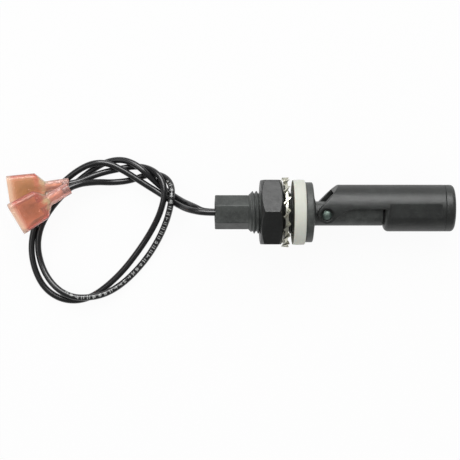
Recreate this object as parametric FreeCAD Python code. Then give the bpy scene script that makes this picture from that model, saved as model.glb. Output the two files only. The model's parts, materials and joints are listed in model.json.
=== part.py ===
"""A side-mounted float probe, as it lies on a table: a threaded plastic body with a reed
switch sealed in its stem, a float that hinges on a cross pin, the nut, lock washer and
gasket that clamp it in a tank wall, and two leads that end in insulated push-on
terminals.

The probe is modelled along +X with the pin along Z and the float swinging up towards +Y.
X is 0 at the flange face that the gasket seals against. The finished pieces are then
turned and lifted to where the probe comes to rest: on one corner of the nut and on the
rim of the float. Sizes are in millimetres."""

import FreeCAD, Part
import math
import os

V = FreeCAD.Vector
X_AXIS = V(1, 0, 0)
Y_AXIS = V(0, 1, 0)
Z_AXIS = V(0, 0, 1)
ORIGIN = V(0, 0, 0)

# Body: the hexagonal rear stub, the threaded shank, the flange and the stem
stub_across_flats = 11.3
stub_length = 12.4
stub_edge_round = 0.3
shank_r = 8.0
shank_length = 21.2
shank_lead_in = 1.68
flange_r = 11.25
flange_rim_thickness = 2.8
flange_dome = 0.8
flange_edge_round = 0.4
flange_root_round = 0.4
stem_r = 5.0
stem_tip_round = 0.4
wire_bore_r = 4.2
wire_bore_length = 17.6
reed_bore_r = 1.45
reed_bore_y = 2.95
reed_bore_end_wall = 2.4
potting_recess = 0.4

# Nut, lock washer and gasket
nut_across_flats = 24.0
nut_thickness = 8.0
nut_chamfer_angle = 30.0
nut_chamfer_inset = 0.3
nut_fit = 0.05
nut_face_x = -8.7
washer_fit = 0.5
washer_ring_width = 3.3
washer_thickness = 1.1
washer_x = -7.3
tooth_count = 16
tooth_reach = 1.2
tooth_width = 3.4
tooth_root_depth = 0.7
tooth_thickness = 0.9
tooth_root_twist = -8.0
tooth_twist = -46.0
gasket_ring_width = 4.1
gasket_thickness = 4.6
gasket_edge_round = 0.5
gasket_fit = 0.1

# Hinge pin, a rivet with a domed head at each end
pin_x = 7.8
pin_r = 1.2
pin_head_r = 1.95
pin_head_height = 1.2
pin_running_fit = 0.06
pin_head_clearance = 0.55
ear_bearing_length = 1.9

# Float
float_r = 8.75
float_axis_y = 1.6
float_end_x = 55.9
float_cap_thickness = 3.6
float_cap_round = 1.5
float_spigot_length = 1.8
float_nose_x = 12.4
float_step_x = 29.5
float_step_round = 1.8
float_cut_y = 2.3
ear_r = 3.5
ear_hollow_r = 12.0
step_gap = 0.3
channel_gap = 0.4
relief_r = 8.2
float_wall = 1.8
bulkhead_thickness = 2.5
flat_x = 31.2
flat_end_margin = 1.5
flat_width = 5.2
magnet_r = 1.5
magnet_length = 10.0
magnet_fit = 0.05
magnet_wall = 0.65
magnet_x = 15.5
magnet_plug_length = 2.5

# Reed switch in the stem
reed_x = 13.0
reed_glass_r = 0.9
reed_glass_length = 10.0
reed_glass_wall = 0.25
reed_seal_length = 1.0
reed_rise = 0.35
reed_lead_r = 0.25
reed_return_drop = 0.9
reed_lead_straight = 0.6
reed_bore_lead_in = 0.8
reed_lead_past_seal = 0.5
reed_blade_past_seal = 0.2
reed_blade_width = 0.8
reed_blade_thickness = 0.12
reed_blade_gap = 0.06
reed_blade_overlap = 1.0
reed_lead_end_room = 1.9

# Leads and the joints inside the potting
lead_d = 2.4
lead_gap = 0.1
lead_core_r = 0.4
lead_core_length = 2.6
lead_seat = 7.0
splice_r = 0.8
splice_length = 4.7
splice_gap = 0.3

# Push-on terminals
cover_barrel_wall = 0.85
cover_barrel_length = 9.0
cover_barrel_overlap = 0.3
cover_neck_flat = 0.02
cover_box_x = 12.4
cover_length = 23.2
cover_shoulder_width = 11.8
cover_mouth_width = 12.8
cover_height = 5.6
cover_corner_r = 1.9
cover_wall = 0.7
lead_in_cover = 2.6
crimp_barrel_wall = 0.2
crimp_barrel_fit = 0.1
crimp_barrel_x = 2.8
crimp_barrel_length = 6.0
crimp_end_wall = 1.2
core_end_gap = 0.2
contact_strip = 0.4
contact_neck_width = 2.2
contact_neck_overlap = 1.0
contact_box_x = 13.2
contact_box_length = 7.2
contact_width = 7.6
contact_height = 1.9
contact_lip = 1.9

# Where each terminal lies: the end of its barrel, its heading and its upward tilt
rear_terminal_point = V(-100.78, 10.87, 4.8)
rear_terminal_heading = 188.5
rear_terminal_tilt = 7.0
front_terminal_point = V(-100.39, 9.16, 9.3)
front_terminal_heading = 211.4
front_terminal_tilt = 13.0

# Rest pose: the body is rolled about its own axis, so that the pin leans
body_roll = 8.5
washer_turn = 3.2

# How far a cutting form reaches past what it cuts, and how near two places are that count
# as one
overcut = 1.0
near = 0.01

# Routes of the two leads over the table, after the first straight out of the stub. Each
# bend takes the given share of its shorter run
lead_first_run = 4.4
bend_share = 0.45
route_a = [
    (-53.04, 0.61, 15.9), (-56.1, 1.51, 12.5), (-58.67, 2.71, 8.6), (-61.92, 4.52, 5.4),
    (-66.8, 7.62, 4.0), (-72.63, 11.24, 4.1), (-79.97, 15.96, 4.0), (-86.21, 18.97, 3.95),
    (-92.07, 18.88, 3.6), (-97.78, 16.28, 1.9), (-103.16, 12.07, 1.25), (-108.0, 6.96, 1.25),
    (-112.44, 0.63, 1.25), (-115.37, -6.6, 1.25), (-116.28, -14.34, 1.25),
    (-114.66, -22.17, 1.25), (-110.83, -28.9, 1.25), (-105.17, -32.9, 1.25),
    (-98.62, -33.9, 1.25), (-92.47, -32.18, 1.25), (-86.33, -27.86, 1.25),
    (-80.19, -21.84, 1.25), (-75.06, -15.22, 1.3), (-70.68, -8.9, 2.6), (-67.16, -2.79, 5.0),
    (-65.17, 2.11, 6.9), (-64.15, 6.62, 7.4), (-64.69, 11.13, 6.5), (-67.06, 14.84, 5.0),
    (-71.3, 17.15, 2.15), (-76.37, 17.75, 1.25), (-81.6, 16.76, 1.25), (-86.79, 15.66, 2.2),
    (-91.65, 14.07, 3.9), (-97.93, 11.31, 4.45),
]
route_b = [
    (-52.14, 1.91, 13.5), (-55.0, 3.11, 10.0), (-57.47, 4.21, 6.3), (-60.81, 6.12, 3.4),
    (-65.06, 9.12, 2.6), (-68.52, 12.23, 3.7), (-71.88, 15.48, 5.2), (-75.64, 18.46, 4.15),
    (-80.54, 20.27, 2.4), (-86.03, 19.77, 1.25), (-91.36, 17.07, 1.25), (-96.4, 13.27, 1.25),
    (-101.14, 9.16, 1.25), (-105.68, 4.75, 1.25), (-109.61, -0.37, 1.25), (-112.44, -6.3, 1.25),
    (-113.35, -12.73, 1.25), (-112.34, -18.85, 1.25), (-109.67, -24.58, 2.4),
    (-105.37, -29.39, 3.7), (-99.82, -32.29, 3.8), (-93.67, -32.48, 3.8), (-87.64, -31.27, 3.5),
    (-81.66, -27.95, 2.2), (-76.07, -22.84, 1.25), (-70.84, -16.62, 1.4), (-66.65, -9.91, 3.0),
    (-63.71, -3.8, 5.9), (-62.08, 1.11, 8.8), (-61.25, 5.62, 9.4), (-61.46, 10.12, 6.9),
    (-63.8, 13.23, 3.8), (-67.61, 14.74, 1.6), (-72.25, 14.24, 1.25), (-78.08, 12.14, 1.25),
    (-84.48, 11.45, 2.2), (-90.6, 11.66, 4.9), (-98.0, 10.61, 8.65),
]


def cylinder(r, x_from, x_to, y=0.0, z=0.0):
    """A round bar along X."""
    return Part.makeCylinder(r, x_to - x_from, V(x_from, y, z), X_AXIS)


def box(x0, x1, y0, y1, z0, z1):
    return Part.makeBox(x1 - x0, y1 - y0, z1 - z0, V(x0, y0, z0))


def hexagon_bar(across_flats, x_from, x_to, corner_angle):
    """A six-sided bar along X, with one corner at that angle from +Y."""
    corner_r = across_flats / math.sqrt(3.0)
    points = []
    for n in range(7):
        a = math.radians(corner_angle + 60.0 * n)
        points.append(V(x_from, corner_r * math.cos(a), corner_r * math.sin(a)))
    return Part.Face(Part.makePolygon(points)).extrude(V(x_to - x_from, 0, 0))


def turned(profile):
    """The solid turned about X from (x, radius) points, which start and end on X."""
    points = [V(x, r, 0) for x, r in profile]
    face = Part.Face(Part.makePolygon(points + [points[0]]))
    return face.revolve(ORIGIN, X_AXIS, 360)


def circle_edges(shape, x, r, y=0.0):
    """The round edges about a line along X, at that place and radius."""
    found = []
    for edge in shape.Edges:
        curve = edge.Curve
        if not isinstance(curve, Part.Circle):
            continue
        on_axis = math.hypot(curve.Center.y - y, curve.Center.z) < near
        if on_axis and abs(curve.Center.x - x) < near and abs(curve.Radius - r) < near:
            found.append(edge)
    return found


def tube_path(points):
    """Straight runs joined by tangent arcs, each as large as its two runs allow."""
    edges = []
    radii = []
    start = points[0]
    for before, corner, after in zip(points, points[1:], points[2:]):
        back = before - corner
        ahead = after - corner
        shorter = min(back.Length, ahead.Length)
        back.normalize()
        ahead.normalize()
        half_turn = (math.pi - back.getAngle(ahead)) / 2.0
        trim = bend_share * shorter
        radius = trim / math.tan(half_turn)
        arc_start = corner + back * trim
        arc_end = corner + ahead * trim
        inward = back + ahead
        inward.normalize()
        bulge = radius / math.cos(half_turn) - radius
        edges.append(Part.LineSegment(start, arc_start).toShape())
        edges.append(Part.Arc(arc_start, corner + inward * bulge, arc_end).toShape())
        start = arc_end
        radii.append(radius)
    edges.append(Part.LineSegment(start, points[-1]).toShape())
    return Part.Wire(edges), radii


def tube(points, r):
    """A round tube along such a path. Returns the solid, the path's length and its
    radii."""
    path, radii = tube_path(points)
    heading = points[1] - points[0]
    ring = Part.Wire(Part.makeCircle(r, points[0], heading))
    solid = path.makePipeShell([ring], True, True)
    return solid, path.Length, radii


stub_end_x = -shank_length - stub_length
flange_front_x = flange_rim_thickness + flange_dome
stem_end_x = float_step_x - step_gap
reed_bore_end_x = stem_end_x - reed_bore_end_wall
wire_bore_end_x = stub_end_x + wire_bore_length
potting_x = stub_end_x + potting_recess
lead_end_x = potting_x + lead_seat
splice_end_x = lead_end_x + splice_gap + splice_length
reed_y = reed_bore_y + reed_rise
reed_return_y = reed_bore_y - reed_return_drop
slot_half = stem_r + channel_gap
pin_seat_z = slot_half + ear_bearing_length
magnet_y = slot_half + magnet_wall + magnet_r + magnet_fit
float_back_x = float_end_x - float_cap_thickness
washer_bore_r = shank_r + washer_fit
washer_ring_r = washer_bore_r + washer_ring_width
washer_outer_r = washer_ring_r + tooth_reach
gasket_bore_r = shank_r + gasket_fit
gasket_outer_r = gasket_bore_r + gasket_ring_width
crimp_barrel_r = lead_d / 2.0 + crimp_barrel_wall
cover_barrel_bore_r = crimp_barrel_r + crimp_barrel_fit
cover_barrel_r = cover_barrel_bore_r + cover_barrel_wall


def stem_relief():
    """What comes off the top of the stem's end, so that the float's step swings past it."""
    block = box(stem_end_x - stem_r, stem_end_x + overcut, 0, stem_r + overcut,
                -stem_r - overcut, stem_r + overcut)
    swing_r = stem_end_x - pin_x
    swing = Part.makeCylinder(swing_r, 4 * stem_r, V(pin_x, 0, -2 * stem_r), Z_AXIS)
    return block.cut(swing)


def probe_body():
    """The moulded body: stub, shank, flange and stem in one piece, with a wide bore for
    the leads, a narrow one above the pin for the switch, and the pin's cross hole."""
    stub = hexagon_bar(stub_across_flats, stub_end_x, -shank_length, 0.0)
    stub = stub.makeFillet(stub_edge_round, [e for e in stub.Edges if len(e.Vertexes) == 2])
    turned_part = turned([
        (-shank_length, 0),
        (-shank_length, shank_r - shank_lead_in),
        (-shank_length + shank_lead_in, shank_r),
        (0, shank_r),
        (0, flange_r),
        (flange_rim_thickness, flange_r),
        (flange_front_x, stem_r + flange_root_round),
        (flange_front_x, stem_r),
        (stem_end_x, stem_r),
        (stem_end_x, 0),
    ])
    rim = circle_edges(turned_part, flange_rim_thickness, flange_r)
    rim += circle_edges(turned_part, 0, flange_r)
    turned_part = turned_part.makeFillet(flange_edge_round, rim)
    tip = circle_edges(turned_part, stem_end_x, stem_r)
    turned_part = turned_part.makeFillet(stem_tip_round, tip)
    body = stub.fuse(turned_part)
    body = body.cut(cylinder(wire_bore_r, stub_end_x - overcut, wire_bore_end_x))
    body = body.cut(cylinder(reed_bore_r, wire_bore_end_x - overcut, reed_bore_end_x, reed_bore_y))
    body = body.cut(stem_relief())
    cross = Part.makeCylinder(pin_r, 4 * stem_r, V(pin_x, 0, -2 * stem_r), Z_AXIS)
    return body.cut(cross).removeSplitter()


def lead_centre(side):
    """Where a lead's centre passes the stub: +1 for lead a, -1 for lead b."""
    return side * (lead_d + lead_gap) / 2.0


def lead_core(side):
    """The stripped end of a lead, in its splice."""
    z = lead_centre(side)
    return cylinder(lead_core_r, lead_end_x, lead_end_x + lead_core_length, 0, z)


def reed_lead_rear():
    """The switch's rear lead with its blade: splice a, through the bore, into the glass."""
    blade_tip_x = reed_x + reed_glass_length / 2.0 + reed_blade_overlap / 2.0
    seal_x = reed_x + reed_seal_length
    z = lead_centre(1)
    wire, _, _ = tube([
        V(lead_end_x + lead_core_length, 0, z),
        V(splice_end_x + reed_lead_straight, 0, z),
        V(wire_bore_end_x - reed_bore_lead_in, reed_y, 0),
        V(seal_x + reed_lead_past_seal, reed_y, 0),
    ], reed_lead_r)
    blade_y = reed_y + reed_blade_gap / 2.0
    blade = box(seal_x + reed_blade_past_seal, blade_tip_x, blade_y,
                blade_y + reed_blade_thickness, -reed_blade_width / 2.0, reed_blade_width / 2.0)
    return wire.fuse(blade).removeSplitter()


def reed_lead_front():
    """The front lead with its blade: it turns back beside the glass to splice b."""
    blade_tip_x = reed_x + reed_glass_length / 2.0 - reed_blade_overlap / 2.0
    seal_x = reed_x + reed_glass_length - reed_seal_length
    turn_x = reed_x + reed_glass_length + reed_lead_end_room
    z = lead_centre(-1)
    wire, _, _ = tube([
        V(lead_end_x + lead_core_length, 0, z),
        V(splice_end_x + reed_lead_straight, 0, z),
        V(wire_bore_end_x - reed_bore_lead_in, reed_return_y, 0),
        V(turn_x, reed_return_y, 0),
        V(turn_x, reed_y, 0),
        V(seal_x - reed_lead_past_seal, reed_y, 0),
    ], reed_lead_r)
    blade_top = reed_y - reed_blade_gap / 2.0
    blade = box(blade_tip_x, seal_x - reed_blade_past_seal, blade_top - reed_blade_thickness,
                blade_top, -reed_blade_width / 2.0, reed_blade_width / 2.0)
    return wire.fuse(blade).removeSplitter()


def reed_glass(leads):
    """The sealed glass tube of the switch, closed round its two leads."""
    end_x = reed_x + reed_glass_length
    glass = cylinder(reed_glass_r, reed_x, end_x, reed_y)
    hollow = cylinder(reed_glass_r - reed_glass_wall, reed_x + reed_seal_length,
                      end_x - reed_seal_length, reed_y)
    glass = glass.cut(hollow)
    for lead in leads:
        glass = glass.cut(lead)
    return glass


def splice(side, core, lead):
    """The crimped sleeve that joins a stripped lead to one of the switch's leads."""
    sleeve = cylinder(splice_r, splice_end_x - splice_length, splice_end_x, 0, lead_centre(side))
    return sleeve.cut(core).cut(lead)


def potting(buried):
    """The resin that fills the wide bore round everything in it."""
    fill = cylinder(wire_bore_r, potting_x, wire_bore_end_x)
    for side in (1, -1):
        seat = cylinder(lead_d / 2.0, potting_x - overcut, lead_end_x, 0, lead_centre(side))
        fill = fill.cut(seat)
    for piece in buried:
        fill = fill.cut(piece)
    return fill


def hex_nut():
    """The thin nut, its corners turned off at both faces."""
    rear_x = nut_face_x - nut_thickness
    corner_r = nut_across_flats / math.sqrt(3.0)
    flat_r = nut_across_flats / 2.0
    drop = (corner_r - flat_r + nut_chamfer_inset) * math.tan(math.radians(nut_chamfer_angle))
    nut = hexagon_bar(nut_across_flats, rear_x, nut_face_x, 90.0)
    cone = turned([
        (rear_x, 0),
        (rear_x, flat_r - nut_chamfer_inset),
        (rear_x + drop, corner_r),
        (rear_x + drop, corner_r + overcut),
        (nut_face_x - drop, corner_r + overcut),
        (nut_face_x - drop, corner_r),
        (nut_face_x, flat_r - nut_chamfer_inset),
        (nut_face_x, 0),
    ])
    nut = nut.common(cone)
    return nut.cut(cylinder(shank_r + nut_fit, rear_x - overcut, nut_face_x + overcut))


def washer_tooth():
    """One tooth at +Y, twisted about its own length from root to tip. Its root is a
    little thinner than the ring that it is cut from."""
    root_r = washer_ring_r - tooth_root_depth
    sections = []
    for r, twist in ((root_r, tooth_root_twist), (washer_outer_r, tooth_twist)):
        corners = []
        for u, w in ((-1, -1), (1, -1), (1, 1), (-1, 1), (-1, -1)):
            across = u * tooth_width / 2.0
            along = w * tooth_thickness / 2.0
            a = math.radians(twist)
            corners.append(V(
                washer_x + along * math.cos(a) + across * math.sin(a),
                r,
                across * math.cos(a) - along * math.sin(a),
            ))
        sections.append(Part.makePolygon(corners))
    return Part.makeLoft(sections, True, True)


def lock_washer():
    """The lock washer: a flat ring with twisted teeth round its rim."""
    half = washer_thickness / 2.0
    washer = cylinder(washer_ring_r, washer_x - half, washer_x + half)
    tooth = washer_tooth()
    teeth = []
    for n in range(tooth_count):
        one = tooth.copy()
        one.rotate(ORIGIN, X_AXIS, washer_turn + 360.0 * n / tooth_count)
        teeth.append(one)
    washer = washer.fuse(teeth)
    bore = cylinder(washer_bore_r, washer_x - washer_thickness, washer_x + washer_thickness)
    return washer.cut(bore).removeSplitter()


def gasket():
    """The thick soft gasket against the flange."""
    ring = cylinder(gasket_outer_r, -gasket_thickness, 0)
    rim = circle_edges(ring, 0, gasket_outer_r)
    rim += circle_edges(ring, -gasket_thickness, gasket_outer_r)
    ring = ring.makeFillet(gasket_edge_round, rim)
    return ring.cut(cylinder(gasket_bore_r, -gasket_thickness - overcut, overcut))


def pivot_pin():
    """The hinge pin, pressed through the stem, with a domed head in each ear."""
    seat = pin_seat_z + pin_running_fit
    dome_r = (pin_head_r ** 2 + pin_head_height ** 2) / (2.0 * pin_head_height)
    pin = Part.makeCylinder(pin_r, 2 * seat, V(pin_x, 0, -seat), Z_AXIS)
    for side in (1, -1):
        head = Part.makeCylinder(pin_head_r, pin_head_height, V(pin_x, 0, side * seat),
                                 V(0, 0, side))
        centre = V(pin_x, 0, side * (seat + pin_head_height - dome_r))
        pin = pin.fuse(head.common(Part.makeSphere(dome_r, centre)))
    return pin.removeSplitter()


def float_outline():
    """The float's side view, in the XY plane: the sloped nose runs down to the round of
    the ears, and a hollow curve leads from the ears to the cut under the front half."""
    top = float_axis_y + float_r
    bottom = float_axis_y - float_r
    pin = V(pin_x, 0, 0)
    nose = V(float_nose_x, top, 0)
    reach = nose - pin
    lean = math.asin(ear_r / reach.Length)
    facing = math.atan2(reach.y, reach.x)
    tangent_angle = facing + math.pi / 2.0 - lean
    ear_top = pin + V(math.cos(tangent_angle), math.sin(tangent_angle), 0) * ear_r
    slope = nose - ear_top
    slope.normalize()
    above = nose + slope * overcut
    hollow_y = float_cut_y - ear_hollow_r
    span = ear_r + ear_hollow_r
    hollow_x = pin_x + math.sqrt(span ** 2 - hollow_y ** 2)
    hollow = V(hollow_x, hollow_y, 0)
    towards = hollow - pin
    towards.normalize()
    join = pin + towards * ear_r
    low_angle = (tangent_angle + math.atan2(towards.y, towards.x)) / 2.0 + math.pi
    ear_low = pin + V(math.cos(low_angle), math.sin(low_angle), 0) * ear_r
    join_angle = math.atan2(join.y - hollow.y, join.x - hollow.x)
    middle_angle = (join_angle + math.pi / 2.0) / 2.0
    hollow_mid = hollow + V(math.cos(middle_angle), math.sin(middle_angle), 0) * ear_hollow_r
    hollow_top = V(hollow_x, float_cut_y, 0)
    step_top = V(float_step_x, float_cut_y, 0)
    step_low = V(float_step_x, bottom - overcut, 0)
    back_low = V(float_back_x, bottom - overcut, 0)
    back_high = V(float_back_x, above.y, 0)
    edges = [
        Part.LineSegment(above, ear_top).toShape(),
        Part.Arc(ear_top, ear_low, join).toShape(),
        Part.Arc(join, hollow_mid, hollow_top).toShape(),
        Part.LineSegment(hollow_top, step_top).toShape(),
        Part.LineSegment(step_top, step_low).toShape(),
        Part.LineSegment(step_low, back_low).toShape(),
        Part.LineSegment(back_low, back_high).toShape(),
        Part.LineSegment(back_high, above).toShape(),
    ]
    return Part.Face(Part.Wire(edges))


def float_bar():
    """The round bar of the float, its step rounded at the foot."""
    front_x = pin_x - ear_r - overcut
    reach = float_r + overcut
    front = cylinder(float_r, front_x, float_step_x, float_axis_y)
    rear = cylinder(float_r, float_step_x, float_back_x, float_axis_y)
    edge = circle_edges(rear, float_step_x, float_r, float_axis_y)
    rounded = rear.makeFillet(float_step_round, edge)
    upper = box(front_x, float_end_x, float_cut_y, float_axis_y + reach, -reach, reach)
    return front.fuse(rounded).fuse(rear.common(upper)).removeSplitter()


def float_body():
    """The hollow float: two ears on the pin, an open channel that nests over the stem, a
    shallow flat on its side, and pockets for the magnet and the air."""
    reach = float_r + overcut
    front_x = pin_x - ear_r - overcut
    outline = float_outline()
    outline.translate(V(0, 0, -reach))
    body = float_bar().common(outline.extrude(V(0, 0, 2 * reach)))
    relief = Part.makeCylinder(relief_r, 2 * slot_half, V(pin_x, 0, -slot_half), Z_AXIS)
    body = body.cut(relief)
    body = body.cut(cylinder(slot_half, front_x, float_step_x))
    body = body.cut(box(front_x, float_step_x, float_axis_y - reach, 0, -slot_half, slot_half))
    hole = Part.makeCylinder(pin_r + pin_running_fit, 4 * float_r,
                             V(pin_x, 0, -2 * float_r), Z_AXIS)
    body = body.cut(hole)
    for side in (1, -1):
        recess = Part.makeCylinder(pin_head_r + pin_head_clearance, float_r,
                                   V(pin_x, 0, side * pin_seat_z), V(0, 0, side))
        body = body.cut(recess)
    cavity_x = float_step_x + bulkhead_thickness
    cavity_r = float_r - float_wall
    body = body.cut(cylinder(cavity_r, cavity_x, float_back_x + overcut, float_axis_y))
    body = body.cut(cylinder(magnet_r + magnet_fit, magnet_x, cavity_x + overcut, magnet_y))
    flat_z = math.sqrt(float_r ** 2 - (flat_width / 2.0) ** 2)
    flat = box(flat_x, float_back_x - flat_end_margin, float_axis_y - float_r,
               float_axis_y + float_r, flat_z, reach)
    return body.cut(flat).removeSplitter()


def float_cap():
    """The float's end cap, welded on over the air space."""
    disc = cylinder(float_r, float_back_x, float_end_x, float_axis_y)
    edge = circle_edges(disc, float_end_x, float_r, float_axis_y)
    disc = disc.makeFillet(float_cap_round, edge)
    spigot = cylinder(float_r - float_wall, float_back_x - float_spigot_length, float_back_x,
                      float_axis_y)
    return disc.fuse(spigot).removeSplitter()


def float_magnet():
    return cylinder(magnet_r, magnet_x, magnet_x + magnet_length, magnet_y)


def magnet_plug():
    """The plug that keeps the magnet in its pocket."""
    start = magnet_x + magnet_length
    return cylinder(magnet_r + magnet_fit, start, start + magnet_plug_length, magnet_y)


def rounded_section(x, width, height, corner_r):
    """A rounded rectangle across X, as a wire."""
    y = width / 2.0
    z = height / 2.0
    s = corner_r * (1 - math.sqrt(0.5))
    corners = ((1, 1), (-1, 1), (-1, -1), (1, -1))
    edges = []
    last = None
    first = None
    for n, (sy, sz) in enumerate(corners):
        near_z = V(x, sy * y, sz * (z - corner_r))
        near_y = V(x, sy * (y - corner_r), sz * z)
        start, end = (near_z, near_y) if n % 2 == 0 else (near_y, near_z)
        middle = V(x, sy * (y - s), sz * (z - s))
        if last is not None:
            edges.append(Part.LineSegment(last, start).toShape())
        else:
            first = start
        edges.append(Part.Arc(start, middle, end).toShape())
        last = end
    edges.append(Part.LineSegment(last, first).toShape())
    return Part.Wire(edges)


def cover_form(barrel_r, shrink):
    """The outside of a terminal's cover, or its inside where shrink is the wall."""
    height = cover_height - 2 * shrink
    corner = cover_corner_r - shrink
    across = 2 * barrel_r + cover_neck_flat
    neck = rounded_section(cover_barrel_length, across, across, barrel_r)
    shoulder = rounded_section(cover_box_x, cover_shoulder_width - 2 * shrink, height, corner)
    mouth = rounded_section(cover_length, cover_mouth_width - 2 * shrink, height, corner)
    barrel = cylinder(barrel_r, 0, cover_barrel_length + cover_barrel_overlap)
    taper = Part.makeLoft([neck, shoulder], True, True)
    sleeve = Part.makeLoft([shoulder, mouth], True, True)
    return barrel.fuse([taper, sleeve]).removeSplitter()


def terminal_cover():
    """The insulating cover: a round barrel that widens into a flat sleeve, open at both
    ends."""
    return cover_form(cover_barrel_r, 0.0).cut(cover_form(cover_barrel_bore_r, cover_wall))


def terminal_contact():
    """The brass contact: a crimp barrel, a flat neck, and a strip whose two edges are
    rolled over to grip a tab."""
    barrel_end = crimp_barrel_x + crimp_barrel_length
    barrel = cylinder(crimp_barrel_r, crimp_barrel_x, barrel_end)
    low = -contact_height / 2.0
    half = contact_width / 2.0
    neck = box(barrel_end - contact_neck_overlap, contact_box_x + contact_neck_overlap,
               -contact_neck_width / 2.0, contact_neck_width / 2.0, low, low + contact_strip)
    inner = half - contact_strip
    outline = [
        (-half, low), (half, low), (half, -low), (half - contact_lip, -low),
        (half - contact_lip, -low - contact_strip), (inner, -low - contact_strip),
        (inner, low + contact_strip), (-inner, low + contact_strip),
        (-inner, -low - contact_strip), (contact_lip - half, -low - contact_strip),
        (contact_lip - half, -low), (-half, -low), (-half, low),
    ]
    section = Part.Face(Part.makePolygon([V(contact_box_x, y, z) for y, z in outline]))
    grip = section.extrude(V(contact_box_length, 0, 0))
    contact = barrel.fuse([neck, grip]).removeSplitter()
    seat = cylinder(lead_core_r, crimp_barrel_x - overcut, barrel_end - crimp_end_wall)
    return contact.cut(seat)


def terminal_core():
    """The stripped end of the lead, in the crimp barrel."""
    core_end = crimp_barrel_x + crimp_barrel_length - crimp_end_wall - core_end_gap
    return cylinder(lead_core_r, lead_in_cover, core_end)


def rest_tilt():
    """How far the probe's nose drops when it lies on a nut corner and the float's rim."""
    nut_corner_r = nut_across_flats / math.sqrt(3.0)
    nut_turned_off = nut_corner_r - nut_across_flats / 2.0 + nut_chamfer_inset
    nut_contact_x = nut_face_x - nut_turned_off * math.tan(math.radians(nut_chamfer_angle))
    float_axis_z = float_axis_y * math.sin(math.radians(body_roll))
    round_centre_z = float_axis_z - float_r + float_cap_round
    round_centre_x = float_end_x - float_cap_round
    along = round_centre_x - nut_contact_x
    across = nut_corner_r + round_centre_z
    tilt = math.atan2(across, along) - math.asin(float_cap_round / math.hypot(along, across))
    lift = nut_corner_r * math.cos(tilt) + nut_contact_x * math.sin(tilt)
    return math.degrees(tilt), lift


def at_rest(roll):
    """The placement of pieces on the probe's axis, rolled about it, at rest."""
    tilt, lift = rest_tilt()
    tipped = FreeCAD.Placement(V(0, 0, lift), FreeCAD.Rotation(Y_AXIS, tilt))
    rolled = FreeCAD.Placement(ORIGIN, FreeCAD.Rotation(X_AXIS, roll))
    return tipped.multiply(rolled)


def terminal_place(point, heading, tilt):
    """The placement of a terminal whose barrel starts at that point."""
    turn = FreeCAD.Rotation(Z_AXIS, heading).multiply(FreeCAD.Rotation(Y_AXIS, -tilt))
    return FreeCAD.Placement(point, turn)


def moved(shape, placement):
    """The shape carried to its place, with the move written into its geometry."""
    copy = shape.copy()
    copy.transformShape(placement.toMatrix(), True)
    return copy


def middle_shift(shapes):
    """The sideways move that brings the middle of the probe's box over the origin."""
    whole = FreeCAD.BoundBox()
    for shape in shapes:
        whole.add(shape.optimalBoundingBox(False))
    return V(-whole.Center.x, -whole.Center.y, 0)


def probe_pieces():
    """The probe's own pieces, by node, where they come to rest."""
    rear = reed_lead_rear()
    front = reed_lead_front()
    core_a = lead_core(1)
    core_b = lead_core(-1)
    splice_a = splice(1, core_a, rear)
    splice_b = splice(-1, core_b, front)
    inside = [rear, front, core_a, core_b, splice_a, splice_b]
    rolled = {
        "probe_body": probe_body(),
        "potting": potting(inside),
        "reed_glass": reed_glass([rear, front]),
        "reed_lead_rear": rear,
        "reed_lead_front": front,
        "lead_core_a": core_a,
        "lead_core_b": core_b,
        "splice_a": splice_a,
        "splice_b": splice_b,
        "pivot_pin": pivot_pin(),
        "float_body": float_body(),
        "float_cap": float_cap(),
        "float_magnet": float_magnet(),
        "magnet_plug": magnet_plug(),
    }
    upright = {
        "hex_nut": hex_nut(),
        "lock_washer": lock_washer(),
        "gasket": gasket(),
    }
    pieces = {name: moved(shape, at_rest(body_roll)) for name, shape in rolled.items()}
    for name, shape in upright.items():
        pieces[name] = moved(shape, at_rest(0.0))
    return pieces


def lead_route(side, shift, route, terminal):
    """The points of a lead from the potting, over the table, into its terminal."""
    frame = at_rest(body_roll)
    z = lead_centre(side)
    leaves = frame.multVec(V(potting_x, 0, z)) + shift
    straight = frame.multVec(V(potting_x - lead_first_run, 0, z)) + shift
    end = terminal.multVec(V(lead_in_cover, 0, 0))
    return [leaves, straight] + [V(*p) for p in route] + [end]


def lead_tail(side):
    """The stretch of a lead that is buried in the potting."""
    return cylinder(lead_d / 2.0, potting_x, lead_end_x, 0, lead_centre(side))


def main():
    os.makedirs("parts", exist_ok=True)
    pieces = probe_pieces()
    shift = middle_shift(pieces.values())
    for shape in pieces.values():
        shape.translate(shift)
    terminals = {
        "a": terminal_place(rear_terminal_point, rear_terminal_heading, rear_terminal_tilt),
        "b": terminal_place(front_terminal_point, front_terminal_heading, front_terminal_tilt),
    }
    routes = {"a": (1, route_a), "b": (-1, route_b)}
    for name, place in terminals.items():
        pieces["terminal_cover_" + name] = moved(terminal_cover(), place)
        pieces["terminal_contact_" + name] = moved(terminal_contact(), place)
        pieces["terminal_core_" + name] = moved(terminal_core(), place)
        side, route = routes[name]
        solid, length, radii = tube(lead_route(side, shift, route, place), lead_d / 2.0)
        section = math.pi * (lead_d / 2.0) ** 2
        tail = moved(lead_tail(side), at_rest(body_roll))
        tail.translate(shift)
        pieces["lead_wire_" + name] = solid.fuse(tail).removeSplitter()
        print("lead", name, "length", round(length, 1), "volume over section x length",
              round(solid.Volume / (section * length), 5))
        print("lead", name, "radii", [round(r, 1) for r in radii])
    for name, shape in pieces.items():
        solids = shape.Solids
        if len(solids) == 1:
            shape = solids[0]
        print(name, "solids", len(solids), "valid", shape.isValid(), "mm3", round(shape.Volume, 2))
        shape.exportStep("parts/" + name + ".step")
    print("tilt and lift", rest_tilt(), "shift", shift)


main()
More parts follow.
